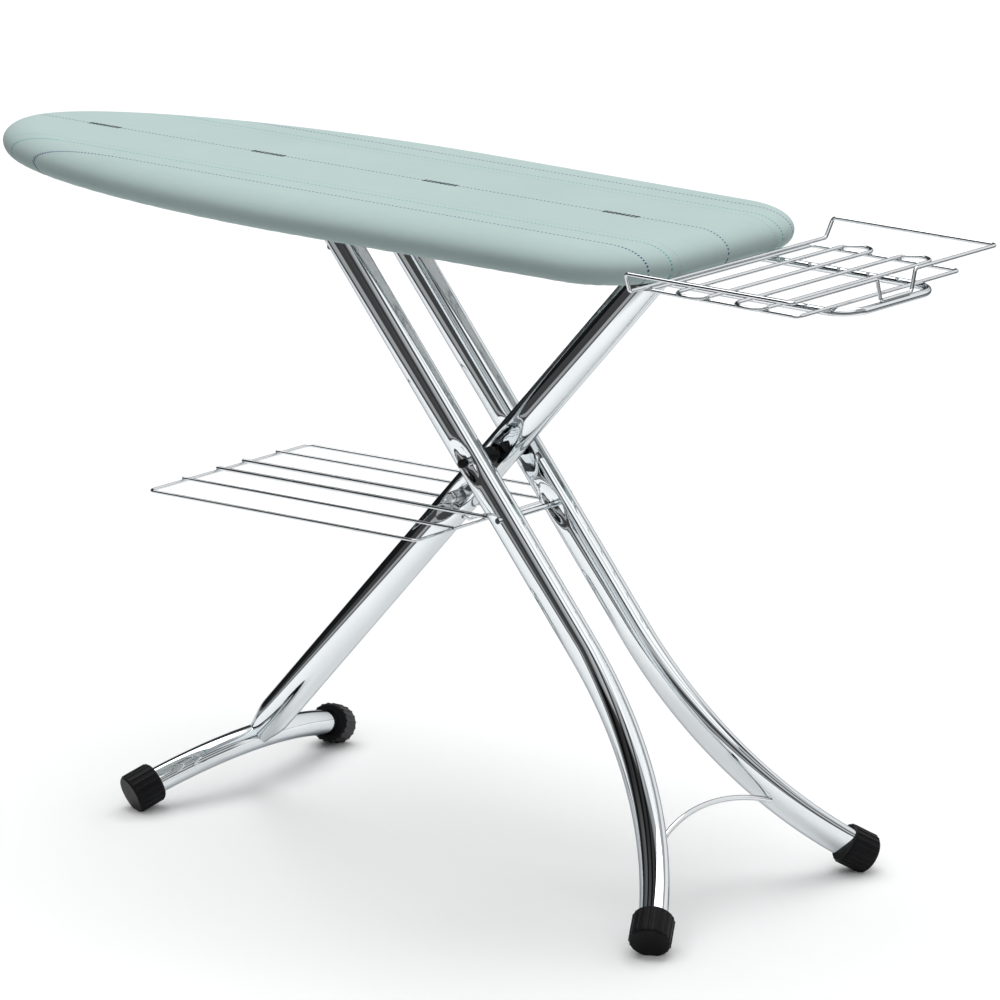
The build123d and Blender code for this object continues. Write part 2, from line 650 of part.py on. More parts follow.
base_z = REST_TUBE_Z + (REST_TUBE + REST_WIRE) / 2 - WELD
hairpin_z = base_z + REST_WIRE - WELD
FENCE_SET_BACK = 3.0         # the fence lies against the outer top side of the base frame
fence_low_z = base_z + sqrt((REST_WIRE - WELD) ** 2 - FENCE_SET_BACK ** 2)
fence_high_z = fence_low_z + FENCE_HEIGHT
base_x0 = tail_x + REST_GAP
base_x1 = base_x0 + REST_BASE_LENGTH
fence_x0 = base_x0 - FENCE_SET_BACK
fence_x1 = rest_end + 2.0


def make_base_frame():
    y = REST_HALF_WIDTH
    middle = (base_x0 + base_x1) / 2
    left = [(middle, -y, base_z), (base_x0, -y, base_z), (base_x0, y, base_z), (middle, y, base_z)]
    right = [(middle, -y, base_z), (base_x1, -y, base_z), (base_x1, y, base_z), (middle, y, base_z)]
    return bent(left, 7, REST_WIRE) + bent(right, 7, REST_WIRE)


def make_hairpin(x):
    """Two rods across the rest, joined by a round loop past each long side."""
    half = HAIRPIN_WIDTH / 2
    y = REST_HALF_WIDTH + HAIRPIN_OVER
    loop = half - 1.0
    near = [(x - half, 0, hairpin_z), (x - half, -y, hairpin_z), (x + half, -y, hairpin_z),
            (x + half, 0, hairpin_z)]
    far = [(px, -py, pz) for px, py, pz in near]
    return bent(near, loop, REST_WIRE) + bent(far, loop, REST_WIRE)


def make_fence():
    """Raised wire round three sides; its low stretches rest on the frame and on the slide tube."""
    y = FENCE_HALF_WIDTH
    low = fence_low_z
    high = fence_high_z
    dip_z = base_z
    dip = FENCE_DIP_HALF
    step = 12.0
    side = [(fence_x0, 0, low), (fence_x0, y - step, low), (fence_x0 + 3, y, high),
            (fence_x1, y, high), (fence_x1, dip + 8, high), (fence_x1, dip, dip_z),
            (fence_x1, 0, dip_z)]
    bends = [5.0, 5.0, 7.0, 5.0, 6.0]
    near = [(px, -py, pz) for px, py, pz in side]
    return bent(side, bends, REST_WIRE) + bent(near, bends, REST_WIRE)


keep("rest_slide_tube", make_slide_tube())
keep("rest_base_frame", make_base_frame())
hairpin_x = base_x0 + HAIRPIN_FROM_BASE
keep("rest_hairpins", [make_hairpin(hairpin_x), make_hairpin(hairpin_x + HAIRPIN_PITCH)])
keep("rest_fence", make_fence())

TIP = 14.0


def make_tip(y):
    start = slide_start - 3
    tip = Pos(start + TIP / 2, y, REST_TUBE_Z) * Rot(0, 90, 0) * Cylinder(REST_TUBE / 2 + 1.6, TIP)
    bore = Pos(slide_start + 20, y, REST_TUBE_Z) * Rot(0, 90, 0) * Cylinder(REST_TUBE / 2 + FIT, 40)
    return tip - bore


keep("rest_tips", [make_tip(y) for y in (-REST_TUBE_HALF, REST_TUBE_HALF)])


def make_guide(x, y):
    """Plastic block screwed under the deck, with a bore for one leg of the slide tube."""
    guide = block(x - 13, x + 13, y - 12, y + 12, REST_TUBE_Z - REST_TUBE / 2 - 4, sheet_low_z)
    guide = fillet(guide.edges().filter_by(Axis.X).group_by(Axis.Z)[0], 5)
    return guide - Pos(x, y, REST_TUBE_Z) * Rot(0, 90, 0) * Cylinder(REST_TUBE / 2 + RUN, 40)


GUIDE_NEAR_TAIL = 58.0
GUIDE_FAR_IN = 172.0
keep("rest_guides", [make_guide(tail_x - d, y) for d in (GUIDE_NEAR_TAIL, GUIDE_FAR_IN)
                     for y in (-REST_TUBE_HALF, REST_TUBE_HALF)])

if __name__ == "__main__":
    whole = Compound(children=list(nodes.values())).bounding_box()
    print("nodes", len(nodes), "box", whole.min, whole.max)
    print("fold", fold_half, "slide", slide_travel, "line tilt", line_tilt)
    for name, at in (("pivot", pivot), ("top_axle", top_axle_at), ("board_hinge", board_hinge_at),
                     ("cross_rod", cross_rod_at), ("shelf_pin", shelf_pin_at),
                     ("lever_pin", lever_pin_at)):
        print(name, round(at.X, 3), round(at.Y, 3), round(at.Z, 3))
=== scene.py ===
# %% [markdown]
# # A folding ironing board
# The board is a padded deck on two crossed legs of chromed oval tube, with a wire shelf between
# the legs and a wire rest for the iron at its wide end. The metal parts that are right already
# come from the frame and only need a finish. The padded top and the oval tubes with their pressed
# dimples are modelled here, because their looks depend on soft, smooth shapes.

# %% Load the frame
import json
import math

import bpy
from mathutils import Matrix, Vector


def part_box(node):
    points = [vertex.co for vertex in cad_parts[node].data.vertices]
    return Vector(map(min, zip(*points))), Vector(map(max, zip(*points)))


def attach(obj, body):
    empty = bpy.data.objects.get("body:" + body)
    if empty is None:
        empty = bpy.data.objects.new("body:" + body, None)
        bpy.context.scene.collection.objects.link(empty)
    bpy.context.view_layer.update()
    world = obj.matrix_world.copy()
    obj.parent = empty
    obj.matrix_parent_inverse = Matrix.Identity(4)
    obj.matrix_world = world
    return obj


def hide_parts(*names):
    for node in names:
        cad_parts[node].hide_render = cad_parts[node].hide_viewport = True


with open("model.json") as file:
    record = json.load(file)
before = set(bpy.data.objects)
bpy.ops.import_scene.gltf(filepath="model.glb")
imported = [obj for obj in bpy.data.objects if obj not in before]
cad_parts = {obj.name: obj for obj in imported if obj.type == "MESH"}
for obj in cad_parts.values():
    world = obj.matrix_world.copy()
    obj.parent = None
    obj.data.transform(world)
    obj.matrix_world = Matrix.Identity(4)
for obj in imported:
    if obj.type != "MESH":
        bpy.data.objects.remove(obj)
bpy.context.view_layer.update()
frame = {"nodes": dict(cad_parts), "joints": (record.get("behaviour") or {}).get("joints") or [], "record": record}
nodes = frame["nodes"]
joint_at = {j["name"]: Vector(j.get("pos_m", (0, 0, 0))) for j in frame["joints"]}
pivot = joint_at["main_pivot"]
top_axle = joint_at["top_axle_pivot"]
board_hinge = joint_at["rear_leg_fold"]
shelf_pin = joint_at["shelf_fold"]

# %% [markdown]
# ## The camera
# A long lens from far away keeps the legs nearly parallel. The camera stands to the right of the
# near side and looks down by about fifteen degrees.

# %% Place the camera
CAMERA_AT = Vector((4.8899, -5.6549, 2.4550))
CAMERA_YAW = math.radians(40.172)
CAMERA_PITCH = math.radians(14.949)
CAMERA_ROLL = math.radians(0.127)
CAMERA_LENS = 208.18
CAMERA_FAR = 200.0

bpy.ops.object.select_all(action="DESELECT")
bpy.ops.object.camera_add(location=CAMERA_AT)
camera = bpy.context.object
camera.name = "camera"
camera.data.lens = CAMERA_LENS
camera.data.clip_end = CAMERA_FAR
camera.rotation_mode = "QUATERNION"
look = Matrix.Rotation(CAMERA_YAW, 4, "Z") @ Matrix.Rotation(math.pi / 2 - CAMERA_PITCH, 4, "X")
camera.rotation_quaternion = (look @ Matrix.Rotation(-CAMERA_ROLL, 4, "Z")).to_quaternion()
bpy.context.scene.camera = camera
bpy.context.scene.view_settings.view_transform = "Standard"
print("camera looks along", look @ Vector((0, 0, -1)))

# %% [markdown]
# ## Light for chrome
# Chrome has no colour of its own: it shows the room. The world is bright overhead and white low
# down, with dark belts between, so each tube shows a white body with crisp dark bands along it. A
# dark flag hangs to the left and a bright wall stands behind, so that the long wires go dark and
# the cross wires stay bright.

# %% Build the world
FLOOR_SIZE = 120.0
SKY_STOPS = [(0.0, 0.10), (0.49, 0.10), (0.50, 0.06), (0.54, 0.05), (0.57, 0.40), (0.64, 0.75),
             (0.66, 0.06), (0.69, 0.05), (0.71, 0.50), (0.76, 0.60), (0.78, 0.05), (0.80, 0.05),
             (0.83, 0.70), (0.88, 0.35), (1.0, 0.45)]
FRONT_FLAG = [(0.0, 0.80), (0.13, 0.80), (0.32, 1.0), (1.0, 1.0)]
LEFT_FLAG = [(0.0, 0.25), (0.10, 0.08), (0.26, 0.08), (0.31, 1.0), (1.0, 1.0)]
BACK_WALL = 0.95
BACK_WALL_EDGE = (0.50, 0.60)
SKY_TINT = (0.985, 1.0, 1.005)
KEY_SUN = ((0.30, -0.18, -1.0), 60, 2.15)       # direction, angle in degrees, strength
SIDE_SUN = ((-0.60, 0.65, -1.0), 70, 0.75)
MIX_SHARE, MIX_FIRST, MIX_SECOND, MIX_RESULT = 0, 6, 7, 2   # a colour Mix node's sockets

world = bpy.data.worlds.new("studio")
bpy.context.scene.world = world
world.use_nodes = True
tree = world.node_tree
tree.nodes.clear()


def world_ramp(value, low, high, stops):
    """Grey levels along one component of the direction, from low to high."""
    spread = tree.nodes.new("ShaderNodeMapRange")
    spread.inputs["From Min"].default_value = low
    spread.inputs["From Max"].default_value = high
    ramp = tree.nodes.new("ShaderNodeValToRGB")
    while len(ramp.color_ramp.elements) < len(stops):
        ramp.color_ramp.elements.new(1.0)
    for element, (place, level) in zip(ramp.color_ramp.elements, stops):
        element.position = place
        element.color = (*(level * tint for tint in SKY_TINT), 1)
    tree.links.new(value, spread.inputs["Value"])
    tree.links.new(spread.outputs[0], ramp.inputs[0])
    return ramp.outputs[0]


coordinate = tree.nodes.new("ShaderNodeTexCoord")
split = tree.nodes.new("ShaderNodeSeparateXYZ")
tree.links.new(coordinate.outputs["Generated"], split.inputs[0])
height = world_ramp(split.outputs["Z"], -1, 1, SKY_STOPS)
left = world_ramp(split.outputs["X"], -1, 1, LEFT_FLAG)
front = world_ramp(split.outputs["Y"], -1, 1, FRONT_FLAG)
back = world_ramp(split.outputs["Y"], *BACK_WALL_EDGE, [(0, 0), (1, 1)])
wall = tree.nodes.new("ShaderNodeMix")
wall.data_type = "RGBA"
wall.inputs[MIX_SECOND].default_value = (BACK_WALL, BACK_WALL, BACK_WALL, 1)
tree.links.new(back, wall.inputs[MIX_SHARE])
tree.links.new(height, wall.inputs[MIX_FIRST])
flags = tree.nodes.new("ShaderNodeMath")
flags.operation = "MULTIPLY"
tree.links.new(left, flags.inputs[0])
tree.links.new(front, flags.inputs[1])
sky = tree.nodes.new("ShaderNodeBackground")
surface = tree.nodes.new("ShaderNodeOutputWorld")
tree.links.new(wall.outputs[MIX_RESULT], sky.inputs["Color"])
tree.links.new(flags.outputs[0], sky.inputs["Strength"])
tree.links.new(sky.outputs[0], surface.inputs["Surface"])

bpy.ops.object.select_all(action="DESELECT")
bpy.ops.mesh.primitive_plane_add(size=FLOOR_SIZE)
floor = bpy.context.object
floor.name = "floor"


def add_sun(name, toward, angle, strength):
    """A sun shining along a direction; a wide angle makes its shadows soft."""
    bpy.ops.object.light_add(type="SUN")
    lamp = bpy.context.object
    lamp.name = name
    lamp.data.energy = strength
    lamp.data.angle = math.radians(angle)
    lamp.rotation_mode = "QUATERNION"
    lamp.rotation_quaternion = Vector(toward).to_track_quat("-Z", "Y")


add_sun("key", *KEY_SUN)
add_sun("side", *SIDE_SUN)
print("world and lamps ready")

# %% [markdown]
# ## A small language for materials
# `Finish` starts a Principled material and adds any node with one method. `Channel` wraps a
# socket so that patterns can be written as ordinary sums and products.

# %% Shader helpers


class Channel:
    """A number that varies over the surface; arithmetic on it adds Math nodes."""

    def __init__(self, finish, socket):
        self.finish = finish
        self.socket = socket

    def _math(self, operation, *values):
        return self.finish.node("ShaderNodeMath", {"operation": operation}, dict(enumerate(values)))

    def __add__(self, other):
        return self._math("ADD", self, other)

    def __radd__(self, other):
        return self._math("ADD", other, self)

    def __sub__(self, other):
        return self._math("SUBTRACT", self, other)

    def __rsub__(self, other):
        return self._math("SUBTRACT", other, self)

    def __mul__(self, other):
        return self._math("MULTIPLY", self, other)

    def __rmul__(self, other):
        return self._math("MULTIPLY", other, self)

    def __truediv__(self, other):
        return self._math("DIVIDE", self, other)

    def __lt__(self, other):
        return self._math("LESS_THAN", self, other)

    def __abs__(self):
        return self._math("ABSOLUTE", self)

    def fract(self):
        return self._math("FRACT", self)

    def sine(self):
        return self._math("SINE", self)

    def sign(self):
        return self._math("SIGN", self)

    def highest(self, other):
        return self._math("MAXIMUM", self, other)


class Finish:
    """One Principled material and the nodes that feed it."""

    def __init__(self, name, **constants):
        self.material = bpy.data.materials.new(name)
        self.material.use_nodes = True
        self.tree = self.material.node_tree
        self.shader = self.tree.nodes["Principled BSDF"]
        self.set(**constants)

    def node(self, kind, settings=None, inputs=None, output=0):
        """Adds a node: settings first, then values or links for its sockets."""
        made = self.tree.nodes.new(kind)
        for key, value in (settings or {}).items():
            if key == "stops":
                elements = made.color_ramp.elements
                while len(elements) < len(value):
                    elements.new(1.0)
                for element, (place, colour) in zip(elements, value):
                    element.position = place
                    element.color = (*colour, 1)
            else:
                setattr(made, key, value)
        for key, value in (inputs or {}).items():
            self.feed(made.inputs[key], value)
        return Channel(self, made.outputs[output])

    def feed(self, socket, value):
        if isinstance(value, Channel):
            self.tree.links.new(value.socket, socket)
        elif hasattr(value, "__len__") and len(value) == 3 and len(socket.default_value) == 4:
            socket.default_value = (*value, 1)
        else:
            socket.default_value = value

    def set(self, **values):
        """Feeds the shader; base_color stands for its Base Color socket, and so on."""
        for key, value in values.items():
            words = key.replace("_", " ").title().replace("Ior", "IOR")
            self.feed(self.shader.inputs[words], value)

    def place(self):
        """The object's own coordinates."""
        return self.node("ShaderNodeTexCoord", output="Object")

    def axes(self, at):
        """The X, Y and Z of a place."""
        return [self.node("ShaderNodeSeparateXYZ", inputs={0: at}, output=k) for k in "XYZ"]

    def noise(self, at, scale, detail=3.0, roughness=0.55):
        values = {"Vector": at, "Scale": scale, "Detail": detail, "Roughness": roughness}
        return self.node("ShaderNodeTexNoise", inputs=values)

    def stretched(self, at, scale):
        return self.node("ShaderNodeMapping", inputs={"Vector": at, "Scale": scale})

    def ramp(self, value, *stops):
        return self.node("ShaderNodeValToRGB", {"stops": stops}, {0: value})

    def mix(self, share, first, second):
        values = {MIX_SHARE: share, MIX_FIRST: first, MIX_SECOND: second}
        return self.node("ShaderNodeMix", {"data_type": "RGBA"}, values, MIX_RESULT)

    def bump(self, height, strength, distance):
        values = {"Height": height, "Strength": strength, "Distance": distance}
        self.set(normal=self.node("ShaderNodeBump", inputs=values))


print("helpers ready")

# %% [markdown]
# ## The finishes
# Chrome is a mirror with faint smudges and a very slight waviness from polishing. Zinc plate is
# duller and a little blue. Rubber and moulded plastic are near black, with a soft grain.

# %% Metal, rubber and plastic


EDGE_TINT = (0.30, 0.32, 0.35, 1)
CHROME_ROUGHNESS = 0.025
CHROME_DIP = 0.94              # the darker clouds of the plating, as a share of its tint
ZINC_DARK, ZINC_LIGHT = (0.58, 0.60, 0.63), (0.74, 0.75, 0.76)
PAINT_DARK, PAINT_LIGHT = (0.56, 0.58, 0.59), (0.64, 0.66, 0.67)
RUBBER_DARK, RUBBER_LIGHT = (0.003, 0.003, 0.004), (0.009, 0.009, 0.010)
PLASTIC_DARK, PLASTIC_LIGHT = (0.004, 0.004, 0.005), (0.010, 0.010, 0.011)


def make_chrome(name, tint, smudge):
    """A mirror with smudged streaks; its edges reflect less than its middle."""
    chrome = Finish(name, metallic=1.0, specular_tint=EDGE_TINT)
    at = chrome.place()
    cloud = chrome.noise(at, scale=7.0, detail=4.0)
    streak = chrome.noise(chrome.stretched(at, (40.0, 220.0, 40.0)), scale=1.0, detail=2.0)
    dim = [c * CHROME_DIP for c in tint]
    chrome.set(base_color=chrome.ramp(cloud, (0.3, dim), (0.7, tint)),
               roughness=CHROME_ROUGHNESS + smudge * cloud * streak)
    chrome.bump(chrome.noise(at, scale=5.0, detail=1.0), strength=0.008, distance=0.002)
    return chrome.material


def make_zinc():
    """Bright zinc plate with a fine brushed grain."""
    zinc = Finish("bright_zinc", metallic=1.0)
    grain = zinc.noise(zinc.stretched(zinc.place(), (1.0, 14.0, 1.0)), scale=240.0, detail=3.0)
    zinc.set(base_color=zinc.ramp(grain, (0.3, ZINC_DARK), (0.75, ZINC_LIGHT)),
             roughness=0.24 + 0.14 * grain)
    zinc.bump(grain, strength=0.10, distance=0.0004)
    return zinc.material


def make_moulded(name, dark, light, rough, pitch):
    """Black rubber or plastic: fine moulded grain, dust in a few paler clouds."""
    moulded = Finish(name, specular_ior_level=0.12)
    at = moulded.place()
    grain = moulded.noise(at, scale=pitch, detail=2.0)
    cloud = moulded.noise(at, scale=22.0, detail=4.0)
    moulded.set(base_color=moulded.ramp(cloud, (0.35, dark), (0.8, light)),
                roughness=rough + 0.16 * cloud)
    moulded.bump(grain, strength=0.22, distance=0.0006)
    return moulded.material


def make_painted():
    """Satin powder coat with its orange-peel skin."""
    painted = Finish("powder_coat", coat_weight=0.15, coat_roughness=0.3)
    at = painted.place()
    cloud = painted.noise(at, scale=9.0, detail=3.0)
    painted.set(base_color=painted.ramp(cloud, (0.3, PAINT_DARK), (0.7, PAINT_LIGHT)),
                roughness=0.38 + 0.12 * cloud)
    painted.bump(painted.noise(at, scale=620.0, detail=2.0), strength=0.12, distance=0.0005)
    return painted.material


finishes = {
    "chrome": make_chrome("polished_chrome", (0.82, 0.855, 0.875), smudge=0.05),
    "plated_steel": make_zinc(),
    "black_rubber": make_moulded("ribbed_rubber", RUBBER_DARK, RUBBER_LIGHT, rough=0.38, pitch=900.0),
    "black_plastic": make_moulded("moulded_plastic", PLASTIC_DARK, PLASTIC_LIGHT, rough=0.28,
                                  pitch=1400.0),
    "deck_steel": make_painted(),
    "wire_chrome": make_chrome("wire_chrome", (0.80, 0.825, 0.84), smudge=0.10),
}

# %% [markdown]
# ## The cover cloth
# The cover is a pale grey-green cotton with a fine plain weave. Dotted woven lines run along it
# at fixed distances from the middle, and over both ends, so the distance along a line is measured
# along the board and then down its end. Short bars on the middle line stand for a woven label.

# %% Weave the cloth
BOARD_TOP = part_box("cover")[1].z
BOARD_MIDDLE = (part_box("cover")[0].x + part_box("cover")[1].x) / 2
THREAD_PITCH = 0.0011
DASH_PITCH = 0.0066
LINE_HALF = 0.0013
NAVY = (0.035, 0.050, 0.16)
TEAL = (0.055, 0.33, 0.34)
PALE_TEAL = (0.24, 0.42, 0.40)
LABEL_PITCH = 0.306
LABEL_LENGTH = 0.060
LABEL_SHIFT = 0.188            # places the first label along the middle line
LABEL_HALF = 0.0048
LABEL_INK = (0.012, 0.014, 0.025)
BAR_PITCH = 0.0075
BAR_SHARE = 0.78
CLOTH_DARK, CLOTH_LIGHT = (0.410, 0.520, 0.508), (0.470, 0.585, 0.572)
FELT_DARK, FELT_LIGHT = (0.62, 0.60, 0.53), (0.80, 0.78, 0.70)
LINES = ((0.0, NAVY, 0.95), (0.1485, NAVY, 0.95), (0.114, TEAL, 0.9), (0.098, PALE_TEAL, 0.5))


def make_cloth():
    """Plain weave with slubs, the woven lines (distance from the middle, thread, strength), labels."""
    cloth = Finish("cover_cotton", sheen_weight=0.08, sheen_roughness=0.5, specular_ior_level=0.15)
    at = cloth.place()
    x, y, z = cloth.axes(at)
    from_centre = x - BOARD_MIDDLE
    along = x + from_centre.sign() * (BOARD_TOP - z)
    warp = (along * (2 * math.pi / THREAD_PITCH)).sine()
    weft = (y * (2 * math.pi / THREAD_PITCH)).sine()
    weave = warp * weft
    slub = cloth.noise(cloth.stretched(at, (1.0, 6.0, 1.0)), scale=60.0, detail=3.0)
    wash = cloth.noise(at, scale=5.0, detail=4.0)
    tone = 0.55 * wash + 0.30 * slub + 0.08 * weave
    colour = cloth.ramp(tone, (0.25, CLOTH_DARK), (0.75, CLOTH_LIGHT))
    dotted = (along / DASH_PITCH).fract() < 0.5
    for offset, thread, strength in LINES:
        line = (abs(abs(y) - offset) < LINE_HALF) * dotted
        colour = cloth.mix(line * strength, colour, thread)
    step = ((x - BOARD_MIDDLE + LABEL_SHIFT) / LABEL_PITCH).fract() * LABEL_PITCH
    bars = (step < LABEL_LENGTH) * ((step / BAR_PITCH).fract() < BAR_SHARE) * (abs(y) < LABEL_HALF)
    colour = cloth.mix(bars * 0.95, colour, LABEL_INK)
    cloth.set(base_color=colour, roughness=0.80 + 0.12 * slub)
    cloth.bump(weave * 0.5 + slub * 0.6, strength=0.18, distance=0.0004)
    return cloth.material


def make_felt():
    """Loose pale fibres of the pad, seen from below through the deck."""
    felt = Finish("pad_felt", roughness=0.95, sheen_weight=0.3)
    fibre = felt.noise(felt.place(), scale=420.0, detail=5.0, roughness=0.7)
    felt.set(base_color=felt.ramp(fibre, (0.3, FELT_DARK), (0.7, FELT_LIGHT)))
    felt.bump(fibre, strength=0.5, distance=0.0015)
    return felt.material


finishes["fabric"] = make_cloth()
finishes["foam"] = make_felt()
WIRES = ("rest_base_frame", "rest_hairpins", "rest_fence", "shelf_frame", "shelf_thick_bars",
         "shelf_thin_bars", "shelf_tie", "front_stretcher")
slot_of = {part["node"]: part["material_slot"] for part in frame["record"]["subparts"]}
for name, piece in nodes.items():
    finish = "wire_chrome" if name in WIRES else slot_of[name]
    piece.data.materials.clear()
    piece.data.materials.append(finishes[finish])
print("finishes", sorted(finishes))

# %% [markdown]
# ## The floor
# A roll of white paper runs under the board and away behind it. Around it the studio floor
# is dark, then grey, then dark again, which gives the chrome its thin dark bands low down.

# %% Paint the floor
SWEEP_HALF = 1.45
SWEEP_FRONT = 0.86
SWEEP_BLEND = 0.16
BAND_REACH = 20.0
BANDS = ((0.0, 0.95), (0.05, 0.03), (0.11, 0.03), (0.15, 0.30), (0.42, 0.36), (0.50, 0.04),
         (1.0, 0.04))
paper = Finish("floor_paper", roughness=0.6, specular_ior_level=0.1)
x, y = paper.axes(paper.place())[:2]
toward = x * math.sin(CAMERA_YAW) - y * math.cos(CAMERA_YAW)
sideways = abs(x * math.cos(CAMERA_YAW) + y * math.sin(CAMERA_YAW))
outside = ((toward - SWEEP_FRONT) / SWEEP_BLEND).highest((sideways - SWEEP_HALF) / SWEEP_BLEND)
stops = [(place, [level] * 3) for place, level in BANDS]
paper.set(base_color=paper.ramp(outside / BAND_REACH, *stops))
floor.data.materials.append(paper.material)
print("floor painted")

# %% [markdown]
# ## The padded top
# The top is a slab of felt and foam pulled tight in its cotton cover. One closed loop of points
# follows the board's outline; it is extruded ring by ring over the top, round the soft edge,
# under the hem and up inside, so that thickness, edge and hem come from a single profile.

# %% Shape of the board's outline
cover_low, cover_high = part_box("cover")
NOSE_LENGTH = 0.674
TAIL_TAPER = 0.011
TAIL_CORNER = 0.113
EDGE_DEPTH = BOARD_TOP - cover_low.z
half_width = cover_high.y
OUTLINE_POINTS = 288
TAIL_SHARE, CORNER_SHARE, SIDE_SHARE = 0.06, 0.20, 0.30    # shares of the points on one half
SMALLEST_CORNER = 0.002


def outline_point(share, inset):
    """A point on the outline drawn in by the inset; share runs from the tail round the nose."""
    nose_end = cover_low.x + NOSE_LENGTH
    half = half_width - inset
    tail_half = half_width - TAIL_TAPER - inset
    corner = max(TAIL_CORNER - inset, SMALLEST_CORNER)
    centre_x = cover_high.x - inset - corner
    centre_y = max(tail_half - corner, 0)
    corner_end = TAIL_SHARE + CORNER_SHARE
    side_end = corner_end + SIDE_SHARE
    side = 1 if share < 0.5 else -1
    t = 2 * share if share < 0.5 else 2 * (1 - share)
    if t < TAIL_SHARE:
        place = (cover_high.x - inset, centre_y * t / TAIL_SHARE)
    elif t < corner_end:
        turn = (t - TAIL_SHARE) / CORNER_SHARE * math.pi / 2
        place = (centre_x + corner * math.cos(turn), centre_y + corner * math.sin(turn))
    elif t < side_end:
        run = (t - corner_end) / SIDE_SHARE
        place = (centre_x + (nose_end - centre_x) * run, tail_half + (half - tail_half) * run)
    else:
        turn = math.pi / 2 * (1 + (t - side_end) / (1 - side_end))
        place = (nose_end + (NOSE_LENGTH - inset) * math.cos(turn), half * math.sin(turn))
    return place[0], place[1] * side


# %% Extrude the padded top ring by ring
EDGE_REACH = 0.050
EDGE_HALF = 0.0265
LOW_REACH = 0.020
HEM = 0.034
PAD_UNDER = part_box("deck_sheet")[1].z + 0.0004
RIM_INSET = 0.0132
TOP_INSETS = (0.16, 0.12, 0.085, 0.065, EDGE_REACH)
EDGE_STEPS = 12
LOW_STEPS = 8
HEM_LIP = 0.001
GATHER_DEPTH = 0.0004
GATHER_LIFT = 0.0002           # the deepest a gather may sink
GATHER_FINE, GATHER_COARSE = 2.1, 0.37
GRID_SPAN = 60


def edge_profile():
    """(inset, height, gather) of each ring from the top's flat, over the edge and up inside."""
    belt = BOARD_TOP - EDGE_HALF
    low = BOARD_TOP - EDGE_DEPTH
    rings = [(inset, BOARD_TOP, 0) for inset in TOP_INSETS]
    for k in range(1, EDGE_STEPS + 1):
        turn = math.pi / 2 * k / EDGE_STEPS
        rings.append((EDGE_REACH * (1 - math.sin(turn)), belt + EDGE_HALF * math.cos(turn), 0))
    for k in range(1, LOW_STEPS + 1):
        turn = math.pi / 2 * k / LOW_STEPS
        drop = (EDGE_DEPTH - EDGE_HALF) * math.sin(turn)
        rings.append((LOW_REACH * (1 - math.cos(turn)), belt - drop, k / LOW_STEPS))
    rings += [(0.024, low, 1), (0.029, low, 1), (HEM - HEM_LIP, low + 0.0006, 1),
              (HEM, low + 0.0018, 1), (HEM - HEM_LIP, low + 0.003, 0.8),
              (0.028, low + 0.0036, 0.4), (0.020, low + 0.0040, 0)]
    rings += [(RIM_INSET, level, 0) for level in (low + 0.006, PAD_UNDER - 0.003, PAD_UNDER)]
    return rings


def lay_ring(mesh, ring, first):
    """Moves one ring's points to the outline at its inset and height."""
    inset, height, gather = ring
    for k in range(OUTLINE_POINTS):
        x, y = outline_point((k + 0.5) / OUTLINE_POINTS, inset)
        wave = math.sin(k * GATHER_FINE) * math.sin(k * GATHER_COARSE)
        ripple = gather * GATHER_DEPTH * wave
        mesh.vertices[first + k].co = (x, y, height + max(ripple, -GATHER_LIFT))


def select_ring(mesh, first):
    """Selects the points of one ring and the edges between them; call in object mode."""
    for vertex in mesh.vertices:
        vertex.select = first <= vertex.index < first + OUTLINE_POINTS
    for edge in mesh.edges:
        edge.select = all(mesh.vertices[v].select for v in edge.vertices)


def make_padded_top():
    """Extrudes the rings, closes the top with a grid and the inside with one face."""
    bpy.ops.object.select_all(action="DESELECT")
    bpy.ops.mesh.primitive_circle_add(vertices=OUTLINE_POINTS, radius=0.2, fill_type="NOTHING")
    top = bpy.context.object
    top.name = "padded_top"
    rings = edge_profile()
    for k in range(len(rings)):
        if k:
            bpy.ops.object.mode_set(mode="EDIT")
            bpy.ops.mesh.extrude_region_move(TRANSFORM_OT_translate={"value": (0, 0, -0.001)})
            bpy.ops.object.mode_set(mode="OBJECT")
        lay_ring(top.data, rings[k], k * OUTLINE_POINTS)
    select_ring(top.data, 0)
    bpy.ops.object.mode_set(mode="EDIT")
    bpy.ops.mesh.select_mode(type="EDGE")
    bpy.ops.mesh.fill_grid(span=GRID_SPAN)
    bpy.ops.object.mode_set(mode="OBJECT")
    select_ring(top.data, (len(rings) - 1) * OUTLINE_POINTS)
    bpy.ops.object.mode_set(mode="EDIT")
    bpy.ops.mesh.select_mode(type="EDGE")
    bpy.ops.mesh.edge_face_add()
    bpy.ops.mesh.select_all(action="SELECT")
    bpy.ops.mesh.normals_make_consistent(inside=False)
    bpy.ops.object.mode_set(mode="OBJECT")
    bpy.ops.object.location_clear()
    top.data.materials.append(finishes["fabric"])
    top.data.materials.append(finishes["foam"])
    for face in top.data.polygons:
        under = face.center.z > PAD_UNDER - 0.002 and face.normal.z < -0.5
        face.material_index = int(under)
    bpy.ops.object.shade_smooth_by_angle(angle=math.radians(50))
    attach(top, "board")
    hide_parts("cover", "foam_pad")
    print("padded top", len(top.data.polygons), "faces")


make_padded_top()

# %% [markdown]
# ## Oval leg tubes
# The legs are oval tube, bent in one plane. An oval ring is extruded station by station along the
# leg's centre line. Round each bolt the press has sunk a long spoon-shaped dimple in the tube's
# side, so the washer sits flat; every point near a bolt is pushed in by a smooth hollow.

